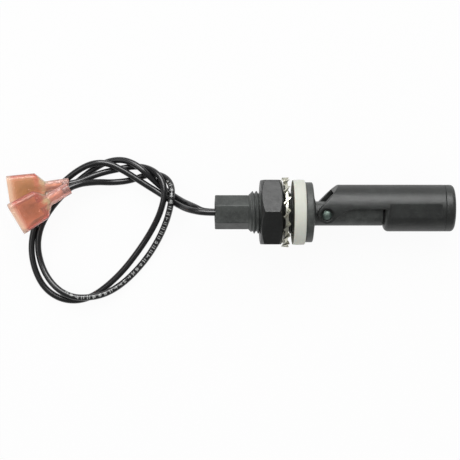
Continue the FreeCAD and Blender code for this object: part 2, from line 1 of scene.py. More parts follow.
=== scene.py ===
"""Dresses a side-mounted float probe: black moulded body and float, thin nut, toothed lock
washer, cream gasket, two black leads and their salmon push-on terminals, on a white table.

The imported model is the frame. Pieces that are modelled here are drawn in millimetres on the
probe's own axis, with X = 0 at the flange face and the hinge pin along Z, and are then
carried to where the probe lies. The routes of the leads are in metres on the table."""

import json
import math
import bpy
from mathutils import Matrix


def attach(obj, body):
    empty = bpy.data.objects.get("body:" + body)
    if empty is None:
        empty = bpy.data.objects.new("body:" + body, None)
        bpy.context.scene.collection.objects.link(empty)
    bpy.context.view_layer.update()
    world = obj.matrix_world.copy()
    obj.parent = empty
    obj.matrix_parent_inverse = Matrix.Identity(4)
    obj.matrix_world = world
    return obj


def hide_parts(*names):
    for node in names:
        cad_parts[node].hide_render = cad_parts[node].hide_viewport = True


bl_info = {
    "name": "Float Probe Dressing",
    "version": (1, 0, 0),
    "blender": (4, 5, 0),
    "location": "View3D > Sidebar > Float Probe",
    "description": "Dresses a packed float probe with mouldings, metal, leads and terminals",
    "category": "Object",
}

import bmesh
import bpy
from bpy.props import FloatProperty, FloatVectorProperty, IntProperty, PointerProperty
from mathutils import Matrix, Vector
from mathutils.kdtree import KDTree

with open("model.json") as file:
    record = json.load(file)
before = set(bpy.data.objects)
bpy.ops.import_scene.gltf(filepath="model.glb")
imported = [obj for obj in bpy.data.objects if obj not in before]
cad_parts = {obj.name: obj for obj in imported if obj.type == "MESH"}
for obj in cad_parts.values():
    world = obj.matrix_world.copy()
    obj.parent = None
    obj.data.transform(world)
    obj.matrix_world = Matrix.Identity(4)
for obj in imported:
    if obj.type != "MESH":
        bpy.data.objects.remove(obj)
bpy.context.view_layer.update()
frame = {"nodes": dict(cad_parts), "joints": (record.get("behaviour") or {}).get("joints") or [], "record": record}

MM = 0.001
FULL_TURN = 2 * math.pi

# The two soft lamps: where they hang from the middle of the view, and their size, in metres
KEY_PLACE = (0.0, 0.575, 0.555)
KEY_SIZE = 0.58
SIDE_PLACE = (-0.42, 0.05, 0.55)
SIDE_SIZE = 0.30

# How much of the plain white table the camera and clear faces see, and how much shiny faces
# do. The sky's bright patch: the cosine off its middle at which it starts, and its soft edge
TABLE_SHOWN = 0.94
TABLE_GLOSS = 0.8
PATCH_FROM = 0.91
PATCH_SPREAD = 0.06

# Where the probe lies, worked out from its hinge: the pin leans with the body's roll, and
# its lean towards +X is the drop of the probe's axis
PIN_FROM_FLANGE = Vector((7.8, 0.0, 0.0))
hinge = frame["joints"][0]
pin_direction = Vector(hinge["axis"]).normalized()
axis_drop = math.atan2(pin_direction.x, pin_direction.z)
body_roll = math.asin(-pin_direction.y)
UPRIGHT = Matrix.Rotation(axis_drop, 4, "Y")
ROLLED = UPRIGHT @ Matrix.Rotation(body_roll, 4, "X")
flange_centre = Vector(hinge["pos_m"]) - ROLLED @ (PIN_FROM_FLANGE * MM)
UPRIGHT.translation = flange_centre
ROLLED.translation = flange_centre

# Sizes on the probe's axis, in millimetres, the washer's sharp angle in degrees. Blocks are
# given by their bounds along, across and above the axis
SHANK_R = 8.0
SHANK_LENGTH = 21.2
GASKET_R = 12.2
GASKET_THICKNESS = 4.6
GASKET_BORE_R = 8.1
# Depth of the gasket's darkened rear face: painted shade with some dirt
GASKET_SOIL_AND_SHADE_DEPTH = 0.14
STEM_ROOT_FILL = ((2.0, 11.0), (1.2, 4.6), (-2.2, 2.2))
STEM_ROOT_CUT = ((3.9, 11.0), (3.7, 6.0), (-6.0, 6.0))
WASHER_X = -7.3
WASHER_BORE_R = 8.5
WASHER_RIM_R = 12.35
WASHER_HALF_THICKNESS = 0.55
WASHER_TEETH = 16
WASHER_TURN = math.radians(3.2)
WASHER_SHARP_ANGLE = 40.0
TOOTH_FROM = 11.4
TOOTH_TO = 13.0
TOOTH_LENGTH = 4.6
TOOTH_THICKNESS = 0.45
TOOTH_TWIST = math.radians(-45)
TOOTH_TAPER = 0.26
PIN_GRAIN = 0.08
COVER_GRAIN = 0.13

# Where a terminal's cover changes colour, in metres: across from its middle, and inwards from
# its mouth. Painted on it: the deeper red of its sides and shoulder seen edge-on, the contact
# as if seen through its flat part, and glints of the contact's neck behind the shoulder
COVER_EDGE_FROM = 0.0046
COVER_EDGE_SPREAD = 0.0016
COVER_SHOULDER = 0.0112
COVER_SHOULDER_SPREAD = 0.0022
COVER_RIM = 0.0024
CONTACT_MIDDLE = 0.0068
CONTACT_REACH = 0.0062
CONTACT_HALF_WIDTH = 0.0058
NECK_MIDDLE = 0.0136
NECK_REACH = 0.0026
BARREL_FROM = 0.0125
BARREL_SPREAD = 0.002

# Fixed colours: the contact painted on the covers as if seen through them, painted glints of
# its neck, and the gasket's rear face, darkened with painted shade and some dirt
PAINTED_CONTACT_REAR = (0.74, 0.46, 0.25, 1)
PAINTED_CONTACT_FRONT = (0.64, 0.31, 0.20, 1)
PAINTED_NECK_GLINT = (0.90, 0.80, 0.58, 1)
GASKET_SOIL_AND_SHADE = (0.16, 0.155, 0.11, 1)

# Dents of the crimping tool, in metres: how far behind the mouth, and their size
CRIMP_PLACES = (0.0160, 0.0195)
CRIMP_HALF_LENGTH = 0.0013
CRIMP_HALF_WIDTH = 0.0017
CRIMP_DEPTH = 0.00035
COVER_BARREL_INNER = 0.00175

# Routes of the two leads, in metres: the potting's face, the first straight, the table, and
# the crimp barrel of the terminal
LEAD_A_ROUTE = [
    (-0.04417, -0.00018, 0.01696), (-0.04855, -0.00018, 0.01733), (-0.05304, 0.00061, 0.0159),
    (-0.0561, 0.00151, 0.0125), (-0.05867, 0.00271, 0.0086), (-0.06192, 0.00452, 0.0054),
    (-0.0668, 0.00762, 0.004), (-0.07263, 0.01124, 0.0041), (-0.07997, 0.01596, 0.004),
    (-0.08621, 0.01897, 0.00395), (-0.09207, 0.01888, 0.0036), (-0.09778, 0.01628, 0.0019),
    (-0.10316, 0.01207, 0.00125), (-0.108, 0.00696, 0.00125), (-0.11224, 0.00063, 0.00125),
    (-0.11507, -0.0066, 0.00125), (-0.11598, -0.01434, 0.00125), (-0.11446, -0.02217, 0.00125),
    (-0.11083, -0.0289, 0.00125), (-0.10517, -0.0329, 0.00125), (-0.09862, -0.0339, 0.00125),
    (-0.09247, -0.03218, 0.00125), (-0.08633, -0.02786, 0.00125), (-0.08019, -0.02184, 0.00125),
    (-0.07506, -0.01522, 0.0013), (-0.07068, -0.0089, 0.0026), (-0.06716, -0.00279, 0.005),
    (-0.06517, 0.00211, 0.0069), (-0.06415, 0.00662, 0.0074), (-0.06469, 0.01113, 0.0065),
    (-0.06706, 0.01484, 0.005), (-0.0713, 0.01715, 0.00215), (-0.07637, 0.01775, 0.00125),
    (-0.0816, 0.01676, 0.00125), (-0.08679, 0.01566, 0.0022), (-0.09165, 0.01407, 0.0039),
    (-0.09793, 0.01131, 0.00445), (-0.10333, 0.01049, 0.00512),
]
LEAD_B_ROUTE = [
    (-0.04437, 0.00018, 0.0145), (-0.04876, 0.00018, 0.01486), (-0.05214, 0.00191, 0.0135),
    (-0.055, 0.00311, 0.01), (-0.05747, 0.00421, 0.0063), (-0.06081, 0.00612, 0.0034),
    (-0.06506, 0.00912, 0.0026), (-0.06852, 0.01223, 0.0037), (-0.07188, 0.01548, 0.0052),
    (-0.07564, 0.01846, 0.00415), (-0.08054, 0.02027, 0.0024), (-0.08603, 0.01977, 0.00125),
    (-0.09136, 0.01707, 0.00125), (-0.0964, 0.01327, 0.00125), (-0.10114, 0.00916, 0.00125),
    (-0.10568, 0.00475, 0.00125), (-0.10961, -0.00037, 0.00125), (-0.11252, -0.0063, 0.00125),
    (-0.11345, -0.01273, 0.00125), (-0.11234, -0.01885, 0.00125), (-0.10967, -0.02458, 0.0024),
    (-0.10537, -0.02939, 0.0037), (-0.09982, -0.03229, 0.0038), (-0.09367, -0.03248, 0.0038),
    (-0.08764, -0.03127, 0.0035), (-0.08166, -0.02795, 0.0022), (-0.07607, -0.02284, 0.00125),
    (-0.07084, -0.01662, 0.0014), (-0.06665, -0.00991, 0.003), (-0.06371, -0.0038, 0.0059),
    (-0.06208, 0.00111, 0.0088), (-0.06125, 0.00562, 0.0094), (-0.06146, 0.01012, 0.0069),
    (-0.0638, 0.01323, 0.0038), (-0.06761, 0.01474, 0.0016), (-0.07225, 0.01424, 0.00125),
    (-0.07808, 0.01214, 0.00125), (-0.08448, 0.01145, 0.0022), (-0.0906, 0.01166, 0.0049),
    (-0.098, 0.01061, 0.00865), (-0.10255, 0.00784, 0.00988),
]
LEAD_A_LENGTH = 0.2342
LEAD_B_LENGTH = 0.2351

# The stretch of lead B whose print faces up, in metres along the lead. Past it the lead's
# slow twist carries the print away, by a radian for each length given
PRINT_FROM = 0.124
PRINT_TO = 0.188
PRINT_TURN_LENGTH = 0.004
PRINT_MOST_TURN = 2.6


def colour_property(name, description, default):
    """A colour that a user may change."""
    return FloatVectorProperty(name=name, description=description, default=default,
                               subtype="COLOR", min=0, max=1)


def distance_property(name, description, default):
    """A length that a user may change."""
    return FloatProperty(name=name, description=description, default=default,
                         subtype="DISTANCE")


class MouldingSizes(bpy.types.PropertyGroup):
    """Sizes of the moulded pieces' detail."""

    thread_pitch: distance_property(
        "Thread pitch",
        "Distance between two turns of the shank's thread",
        1.5 * MM,
    )
    thread_depth: distance_property(
        "Thread depth",
        "Depth of the thread's groove",
        0.9 * MM,
    )
    edge_grain: distance_property(
        "Edge grain",
        "Size of the cells that round a moulding's edges",
        0.17 * MM,
    )
    edge_rounds: IntProperty(
        name="Edge rounds",
        description="How often the edges are smoothed",
        default=6,
        min=0,
        max=30,
    )
    turned_steps: IntProperty(
        name="Turned steps",
        description="Steps round a turned piece",
        default=144,
        min=16,
        max=512,
    )


class LeadSizes(bpy.types.PropertyGroup):
    """Sizes of the leads."""

    diameter: distance_property(
        "Lead diameter",
        "Diameter of each lead over its insulation",
        2.4 * MM,
    )
    mark_pitch: distance_property(
        "Mark pitch",
        "Distance between two printed marks",
        2.2 * MM,
    )
    mark_height: distance_property(
        "Mark height",
        "Height of a printed mark, round the lead",
        1.35 * MM,
    )


class ProbeColours(bpy.types.PropertyGroup):
    """Colours of the finishes."""

    body: colour_property(
        "Body",
        "Black plastic of the mouldings",
        (0.0095, 0.0103, 0.0100),
    )
    body_dust: colour_property(
        "Body dust",
        "Paler bloom on the mouldings",
        (0.055, 0.060, 0.056),
    )
    gasket: colour_property(
        "Gasket",
        "Cream rubber of the gasket",
        (0.63, 0.64, 0.575),
    )
    lead: colour_property(
        "Lead",
        "Black insulation of the leads",
        (0.008, 0.008, 0.0085),
    )
    mark: colour_property(
        "Mark",
        "Pale print on the lead",
        (0.40, 0.41, 0.40),
    )
    cover_front: colour_property(
        "Front cover",
        "Nylon of the upper terminal's cover",
        (0.88, 0.45, 0.33),
    )
    cover_rear: colour_property(
        "Rear cover",
        "Nylon of the lower terminal's cover",
        (0.93, 0.60, 0.42),
    )
    # Painted: the deeper red seen edge-on through the wall along a cover's sides
    cover_edge: colour_property(
        "Cover edge",
        "Nylon along a cover's two sides, where it is looked through edge-on",
        (0.86, 0.30, 0.26),
    )
    cover_barrel: colour_property(
        "Cover barrel",
        "Nylon of a cover's narrow end, over the crimp",
        (0.90, 0.56, 0.52),
    )
    cover_mouth: colour_property(
        "Cover mouth",
        "Nylon at the rim of a cover's mouth",
        (0.98, 0.80, 0.66),
    )


class StageSettings(bpy.types.PropertyGroup):
    """Camera, lamps and table."""

    aim: FloatVectorProperty(
        name="Aim",
        description="What the camera looks at: the middle of the view, at the axis's height",
        default=(-0.03914, -0.00664, 0.013),
        subtype="TRANSLATION",
    )
    distance: distance_property(
        "Distance",
        "From the camera to what it looks at",
        0.710,
    )
    lean: FloatProperty(
        name="Lean",
        description="How far the camera leans towards the float, off straight down",
        default=math.radians(2.5),
        subtype="ANGLE",
    )
    view_width: distance_property(
        "View width",
        "Width that the photograph shows at the probe's axis",
        0.1725,
    )
    key_power: FloatProperty(
        name="Key power",
        description="Power of the soft lamp beyond the probe",
        default=3.0,
        unit="POWER",
    )
    side_power: FloatProperty(
        name="Side power",
        description="Power of the lamp over the leads",
        default=0.5,
        unit="POWER",
    )
    sky_low: FloatProperty(
        name="Low sky",
        description="Strength of the light from the horizon in front of the probe",
        default=0.55,
    )
    sky_high: FloatProperty(
        name="High sky",
        description="Strength that the sky gains overhead and beyond the probe",
        default=0.28,
    )
    gloss_low: FloatProperty(
        name="Low gloss",
        description="Strength of the horizon in front of the probe, as shiny faces show it",
        default=0.18,
    )
    gloss_high: FloatProperty(
        name="High gloss",
        description="Strength that the sky gains overhead and beyond, as shiny faces show it",
        default=0.11,
    )
    gloss_key: FloatProperty(
        name="Key gloss",
        description="Strength of the sky's bright patch behind the key lamp, on shiny faces",
        default=6.4,
    )
    table_size: distance_property(
        "Table size",
        "Width of the white table",
        3.0,
    )


def settings(name):
    """One of the scene's groups of settings."""
    return getattr(bpy.context.scene, name)


class Socket:
    """A socket of a material, so that maths on it reads as plain expressions."""

    def __init__(self, tree, socket):
        self.tree = tree
        self.socket = socket

    def maths(self, operation, first, second=None, clamp=False):
        node = self.tree.nodes.new("ShaderNodeMath")
        node.operation = operation
        node.use_clamp = clamp
        for place, value in enumerate((first, second)):
            connect(self.tree, value, node.inputs[place])
        return Socket(self.tree, node.outputs[0])

    def __add__(self, other):
        return self.maths("ADD", self, other)

    def __radd__(self, other):
        return self.maths("ADD", other, self)

    def __sub__(self, other):
        return self.maths("SUBTRACT", self, other)

    def __rsub__(self, other):
        return self.maths("SUBTRACT", other, self)

    def __mul__(self, other):
        return self.maths("MULTIPLY", self, other)

    def __rmul__(self, other):
        return self.maths("MULTIPLY", other, self)

    def __truediv__(self, other):
        return self.maths("DIVIDE", self, other)

    def __neg__(self):
        return self.maths("MULTIPLY", self, -1.0)

    def __gt__(self, other):
        return self.maths("GREATER_THAN", self, other)

    def __lt__(self, other):
        return self.maths("LESS_THAN", self, other)

    def dot(self, direction):
        """How far a vector reaches along a direction."""
        node = self.tree.nodes.new("ShaderNodeVectorMath")
        node.operation = "DOT_PRODUCT"
        self.tree.links.new(self.socket, node.inputs[0])
        node.inputs[1].default_value = direction
        return Socket(self.tree, node.outputs["Value"])

    def floor(self):
        return self.maths("FLOOR", self)

    def fraction(self):
        return self.maths("FRACT", self)

    def size(self):
        return self.maths("ABSOLUTE", self)

    def held(self):
        """The value held between 0 and 1."""
        return self.maths("ADD", self, 0.0, clamp=True)


def connect(tree, value, target):
    """Links a socket to an input, or sets the input's own value."""
    if value is None:
        return
    if isinstance(value, Socket):
        tree.links.new(value.socket, target)
    else:
        target.default_value = value


class Finish:
    """One material with its shader, built node by node."""

    def __init__(self, name, **constants):
        self.material = bpy.data.materials.new(name)
        self.material.use_nodes = True
        self.tree = self.material.node_tree
        self.shader = self.tree.nodes["Principled BSDF"]
        for key, value in constants.items():
            self.shader.inputs[key.replace("_", " ")].default_value = value

    def node(self, kind, output=0, setting=None, stops=None, **inputs):
        """Adds a node: its settings first, then the values or links of its sockets."""
        node = self.tree.nodes.new("ShaderNode" + kind)
        for key, value in (setting or {}).items():
            setattr(node, key, value)
        if stops:
            ramp = node.color_ramp
            while len(ramp.elements) < len(stops):
                ramp.elements.new(0.5)
            for element, (place, grey) in zip(ramp.elements, stops):
                element.position = place
                element.color = (grey, grey, grey, 1)
        for key, value in inputs.items():
            connect(self.tree, value, node.inputs[key.replace("_", " ")])
        return Socket(self.tree, node.outputs[output])

    def place(self):
        """The piece's own coordinates, in metres."""
        return self.node("TexCoord", output="Object")

    def noise(self, size, detail=3.0, roughness=0.55):
        """Cloudy noise with features of that size, in metres."""
        return self.node("TexNoise", Vector=self.place(), Scale=1.0 / size,
                         Detail=detail, Roughness=roughness)

    def drawn_noise(self, stretch, scale, **inputs):
        """Noise drawn out along the probe, into streaks."""
        drawn = self.node("Mapping", Vector=self.place(), Scale=(stretch, 1.0, 1.0))
        return self.node("TexNoise", Vector=drawn, Scale=scale, **inputs)

    def ramp(self, value, *stops):
        """A value turned into greys at those stops."""
        return self.node("ValToRGB", stops=stops, Fac=value)

    def blend(self, mask, first, second):
        """A colour between two, by a mask."""
        node = self.tree.nodes.new("ShaderNodeMix")
        node.data_type = "RGBA"
        connect(self.tree, mask, node.inputs["Factor"])
        for key, value in (("A", first), ("B", second)):
            target = [s for s in node.inputs if s.name == key and s.type == "RGBA"][0]
            connect(self.tree, value, target)
        return Socket(self.tree, [s for s in node.outputs if s.type == "RGBA"][0])

    def bump(self, height, strength, depth, under=None):
        """A normal from a height, with that strength and depth in metres."""
        return self.node("Bump", Height=height, Strength=strength, Distance=depth, Normal=under)

    def feed(self, **sockets):
        """Links values that change over the surface to the shader."""
        for key, value in sockets.items():
            connect(self.tree, value, self.shader.inputs[key.replace("_", " ")])
        return self.material


def ray_kinds(tree):
    """Whether a ray comes from the camera, from a shiny face, or through a clear one."""
    rays = tree.nodes.new("ShaderNodeLightPath")
    return [Socket(tree, rays.outputs["Is %s Ray" % kind])
            for kind in ("Camera", "Glossy", "Transmission")]


def colour(values):
    """A colour with full alpha."""
    return (values[0], values[1], values[2], 1.0)


def scaled(values, factor):
    """A colour made lighter or darker."""
    return (values[0] * factor, values[1] * factor, values[2] * factor, 1.0)


def moulded_plastic(name, lift=1.0, bloom=0.55, rough=0.33):
    """Black moulded plastic: fine grain, a pale bloom in patches, scratches and flow marks."""
    tint = settings("probe_colours")
    finish = Finish(name, Specular_IOR_Level=0.5)
    patches = finish.ramp(finish.noise(0.0065, 4.0, 0.6), (0.42, 0.0), (0.70, 1.0))
    mottle = finish.noise(0.0011, 5.0, 0.65)
    speckle = finish.ramp(finish.noise(0.00035, 2.0), (0.56, 0.0), (0.72, 1.0))
    dust = (patches * 0.4 + mottle * 0.45 + speckle * 0.3) * bloom
    paint = finish.blend(dust.held(), scaled(tint.body, lift), scaled(tint.body_dust, lift))
    scratches = finish.drawn_noise(0.25, 2600.0, Detail=2.0)
    flow = finish.drawn_noise(0.18, 850.0, Detail=4.0, Roughness=0.65)
    grained = finish.bump(finish.noise(0.00022, 3.0), 0.3, 0.00005)
    flowed = finish.bump(flow, 0.45, 0.00013, grained)
    wavy = finish.bump(finish.noise(0.004, 2.0), 0.2, 0.0004, flowed)
    worn = rough - 0.07 + mottle * 0.18 + flow * 0.14 + scratches * 0.05
    return finish.feed(Base_Color=paint, Roughness=worn, Normal=wavy)


def gasket_rubber():
    """Cream rubber with a soft mottle, faint turned lines, and a rear face darkened to olive with
    painted shade, where the washer shadows it, and some dirt.
    """
    tint = settings("probe_colours")
    finish = Finish("gasket_cream", Specular_IOR_Level=0.3, Subsurface_Weight=0.1,
                    Subsurface_Scale=0.0012)
    axis = (UPRIGHT.to_3x3() @ Vector((1, 0, 0))).normalized()
    along = finish.place().dot(axis) - flange_centre.dot(axis)
    # The rear face darkened: painted shade where the washer shadows it, with some dirt
    rear = ((-along - (GASKET_THICKNESS - GASKET_SOIL_AND_SHADE_DEPTH) * MM) / (0.1 * MM)).held()
    lines = finish.node("TexNoise", setting={"noise_dimensions": "1D"}, W=along, Scale=2300.0,
                        Detail=2.0)
    mottle = finish.noise(0.0016, 5.0, 0.6)
    stain = finish.ramp(finish.noise(0.0045, 3.0), (0.5, 0.0), (0.78, 1.0))
    paint = finish.blend((mottle * 0.5 + lines * 0.5).held(), scaled(tint.gasket, 0.88),
                         scaled(tint.gasket, 1.1))
    paint = finish.blend(stain * 0.3, paint, scaled(tint.gasket, 0.7))
    paint = finish.blend(rear * 0.9, paint, GASKET_SOIL_AND_SHADE)
    return finish.feed(Base_Color=paint, Roughness=0.55 + mottle * 0.2,
                       Normal=finish.bump(finish.noise(0.0006, 3.0), 0.25, 0.0001))


def bright_metal(name, base, rough, warm=0.0):
    """Plated or turned metal, a little uneven, whose dull patches may be warmer."""
    finish = Finish(name, Metallic=1.0)
    mottle = finish.noise(0.0012, 4.0, 0.6)
    worn = finish.ramp(finish.noise(0.0028, 4.0), (0.48, 0.0), (0.66, 1.0))
    dull = (base[0] * 0.62, base[1] * (0.60 - warm * 0.1), base[2] * (0.56 - warm * 0.2), 1.0)
    paint = finish.blend(worn * 0.6, colour(base), dull)
    return finish.feed(Base_Color=paint, Roughness=rough + mottle * 0.14 + worn * 0.1,
                       Normal=finish.bump(finish.noise(0.0004, 2.0), 0.2, 0.00004))


def lead_insulation(name, printed):
    """Black insulation with a faint mottle, and pale ticks, dashes and blocks along one
    lead. Its attribute holds how far along, across and above the lead's line a point is."""
    tint = settings("probe_colours")
    size = settings("lead_sizes")
    finish = Finish(name, Specular_IOR_Level=0.55)
    mottle = finish.noise(0.0022, 4.0, 0.6)
    paint = finish.blend(mottle, scaled(tint.lead, 0.7), scaled(tint.lead, 2.2))
    rough = 0.19 + finish.noise(0.0012, 3.0) * 0.12
    if printed:
        on_lead = finish.node("Attribute", output="Vector", setting={"attribute_name": "on_lead"})
        along, across, above = (finish.node("SeparateXYZ", output=part, Vector=on_lead)
                                for part in "XYZ")
        cell = along / size.mark_pitch
        place = cell.fraction()
        kind = finish.node("TexWhiteNoise", setting={"noise_dimensions": "1D"}, W=cell.floor())
        other = finish.node("TexWhiteNoise", setting={"noise_dimensions": "1D"},
                            W=cell.floor() + 57.3)
        height = across.size() / (size.mark_height / 2)
        tick = ((place - 0.24).size() < 0.09) * (height < 1.0) * (kind > 0.25)
        second = ((place - 0.62).size() < 0.08) * (height < 0.8) * (other > 0.4)
        dash = ((place - 0.43).size() < 0.30) * (height < 0.24) * (kind < 0.55)
        block = ((place - 0.45).size() < 0.17) * ((height - 0.5).size() < 0.26) * (other < 0.35)
        marks = ((tick + second + dash + block) * (above > 0.0)).held()
        worn = finish.ramp(finish.noise(0.0005, 3.0), (0.36, 0.4), (0.6, 1.0))
        paint = finish.blend(marks * worn, paint, colour(tint.mark))
    return finish.feed(Base_Color=paint, Roughness=rough,
                       Normal=finish.bump(finish.noise(0.0009, 3.0), 0.15, 0.00010))


def nylon(name, tint, through, socket):
    """Translucent salmon nylon, paler at its mouth and pinker over the barrel. Painted on it: the
    deeper red of looking edge-on through its sides and shoulder, the contact's colour as if seen
    through it, and pale glints of the contact's neck."""
    tints = settings("probe_colours")
    mouth = Vector(socket["pos_m"])
    out = Vector(socket["axis"]).normalized()
    side = Vector((0, 0, 1)).cross(out).normalized()
    finish = Finish(name, Specular_IOR_Level=0.5, Transmission_Weight=0.78, IOR=1.4)
    place = finish.place()
    inward = mouth.dot(out) - place.dot(out)
    across = (place.dot(side) - mouth.dot(side)).size()
    # Painted: the deeper red of looking edge-on through the wall, along the sides and at the shoulder
    edge = ((across - COVER_EDGE_FROM) / COVER_EDGE_SPREAD).held()
    shoulder = (1.0 - (inward - COVER_SHOULDER).size() / COVER_SHOULDER_SPREAD).held()
    rim = (1.0 - inward / COVER_RIM).held()
    cloud = finish.noise(0.0035, 3.0)
    paint = finish.blend(cloud, scaled(tint, 0.88), scaled(tint, 1.1))
    paint = finish.blend((edge + shoulder * 0.6).held(), paint, colour(tints.cover_edge))
    # Painted: the contact's colour on the flat part, as if seen through the nylon
    contact = (1.0 - (inward - CONTACT_MIDDLE).size() / CONTACT_REACH).held()
    contact = contact * (1.0 - across / CONTACT_HALF_WIDTH).held()
    paint = finish.blend((contact * 1.5).held() * 0.8, paint, through)
    barrel = ((inward - BARREL_FROM) / BARREL_SPREAD).held()
    paint = finish.blend(barrel * 0.75, paint, colour(tints.cover_barrel))
    # Painted: pale glints of the contact's neck, as if seen through the nylon
    neck_glint = finish.ramp(finish.noise(0.0017, 3.0), (0.44, 0.0), (0.58, 1.0))
    neck_glint = neck_glint * (1.0 - (inward - NECK_MIDDLE).size() / NECK_REACH).held()
    paint = finish.blend((neck_glint * 1.6).held(), paint, PAINTED_NECK_GLINT)
    paint = finish.blend((rim * 1.6).held() * 0.9, paint, colour(tints.cover_mouth))
    rough = 0.16 + finish.noise(0.0015, 3.0) * 0.16
    return finish.feed(Base_Color=paint, Roughness=rough,
                       Normal=finish.bump(finish.noise(0.0012, 3.0), 0.3, 0.00018))


def resin():
    """Dark potting resin, slightly wavy."""
    finish = Finish("potting_dark", Coat_Weight=0.3, Coat_Roughness=0.15)
    paint = finish.blend(finish.noise(0.002), (0.018, 0.018, 0.020, 1), (0.05, 0.048, 0.045, 1))
    return finish.feed(Base_Color=paint, Roughness=0.34 + finish.noise(0.001) * 0.2,
                       Normal=finish.bump(finish.noise(0.0018), 0.4, 0.0003))


def clear_glass():
    """The reed switch's glass."""
    finish = Finish("reed_glass_clear", Transmission_Weight=1.0, IOR=1.5)
    paint = finish.blend(finish.noise(0.002), (0.86, 0.94, 0.90, 1), (0.92, 0.97, 0.95, 1))
    return finish.feed(Base_Color=paint, Roughness=0.02 + finish.noise(0.001) * 0.05)


def magnet_ferrite():
    """Ground dark ferrite."""
    finish = Finish("ferrite", Metallic=0.35)
    paint = finish.blend(finish.noise(0.0006, 5.0), (0.06, 0.06, 0.065, 1), (0.13, 0.13, 0.14, 1))
    return finish.feed(Base_Color=paint, Roughness=0.5 + finish.noise(0.0006) * 0.2,
                       Normal=finish.bump(finish.noise(0.0003), 0.3, 0.00005))


def add_object(name, mesh):
    """An object of that mesh in the scene, at the origin."""
    piece = bpy.data.objects.new(name, mesh)
    bpy.context.scene.collection.objects.link(piece)
    return piece


def object_from(name, bm):
    """An object of a finished bmesh, which is freed."""
    mesh = bpy.data.meshes.new(name)
    bm.to_mesh(mesh)
    bm.free()
    return add_object(name, mesh)


def applied(piece):
    """The piece with its modifiers made real."""
    bpy.context.view_layer.update()
    graph = bpy.context.evaluated_depsgraph_get()
    mesh = bpy.data.meshes.new_from_object(piece.evaluated_get(graph))
    old = piece.data
    piece.modifiers.clear()
    piece.data = mesh
    bpy.data.meshes.remove(old)
    return piece


def combined(piece, tool, operation):
    """Cuts the tool out of the piece, or joins it on."""
    modifier = piece.modifiers.new("combine", "BOOLEAN")
    modifier.operation = operation
    modifier.solver = "EXACT"
    modifier.object = tool
    applied(piece)
    bpy.data.objects.remove(tool)
    return piece


def copy_of(node, name):
    """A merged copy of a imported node's mesh, as a new object."""
    bm = bmesh.new()
    bm.from_mesh(frame["nodes"][node].data)
    bmesh.ops.remove_doubles(bm, verts=bm.verts, dist=0.002 * MM)
    return object_from(name, bm)


def eased(piece, grain, rounds, keep):
    """Rounds every edge of a piece a little: cells of that grain, smoothed that often, of
    which that share is kept."""
    remesh = piece.modifiers.new("cells", "REMESH")
    remesh.mode = "VOXEL"
    remesh.voxel_size = grain
    smooth = piece.modifiers.new("rounds", "SMOOTH")
    smooth.factor = 0.5
    smooth.iterations = rounds
    thin = piece.modifiers.new("thin", "DECIMATE")
    thin.ratio = keep
    return applied(piece)


def shaded(piece, angle=180.0):
    """Smooth shading, with edges sharper than the angle, in degrees, left sharp."""
    piece.data.polygons.foreach_set("use_smooth", [True] * len(piece.data.polygons))
    if angle < 180.0:
        piece.data.set_sharp_from_angle(angle=math.radians(angle))
    return piece


def dressed(piece, material, slot, body, *nodes):
    """Gives a piece its material and its body, in place of the nodes named. The slot is not used."""
    piece.data.materials.clear()
    piece.data.materials.append(material)
    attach(piece, body)
    if nodes:
        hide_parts(*nodes)
    return piece


def turned(profile, steps, place):
    """A solid turned about X from (x, radius) points in millimetres, at a placement."""
    bm = bmesh.new()
    verts = [bm.verts.new((x, r, 0)) for x, r in profile]
    edges = [bm.edges.new(pair) for pair in zip(verts, verts[1:] + verts[:1])]
    bmesh.ops.spin(bm, geom=verts + edges, cent=(0, 0, 0), axis=(1, 0, 0), dvec=(0, 0, 0),
                   angle=FULL_TURN, steps=steps, use_merge=True, use_duplicate=False)
    bmesh.ops.remove_doubles(bm, verts=bm.verts, dist=0.0005)
    bmesh.ops.recalc_face_normals(bm, faces=bm.faces)
    bm.transform(place @ Matrix.Scale(MM, 4))
    return bm


def rounded(corners, steps=6):
    """The outline through (x, r, radius) corners, each rounded by an arc of its radius.
    A slerp gives directions of length one."""
    points = []
    count = len(corners)
    for n, (x, r, radius) in enumerate(corners):
        corner = Vector((x, r))
        if radius <= 0:
            points.append((x, r))
            continue
        back = (Vector(corners[n - 1][:2]) - corner).normalized()
        ahead = (Vector(corners[(n + 1) % count][:2]) - corner).normalized()
        half = back.angle(ahead) / 2
        centre = corner + (back + ahead).normalized() * (radius / math.sin(half))
        start = corner + back * (radius / math.tan(half)) - centre
        end = corner + ahead * (radius / math.tan(half)) - centre
        for step in range(steps + 1):
            t = step / steps
            arm = start.slerp(end, t) * radius
            points.append(tuple(centre + arm))
    return points


def block(along, across, above):
    """A box between those bounds in millimetres, on the probe's rolled axis."""
    bm = bmesh.new()
    bmesh.ops.create_cube(bm, size=1.0)
    bounds = (along, across, above)
    bmesh.ops.scale(bm, verts=bm.verts, vec=[high - low for low, high in bounds])
    bmesh.ops.translate(bm, verts=bm.verts, vec=[(low + high) / 2 for low, high in bounds])
    bm.transform(ROLLED @ Matrix.Scale(MM, 4))
    return object_from("block", bm)


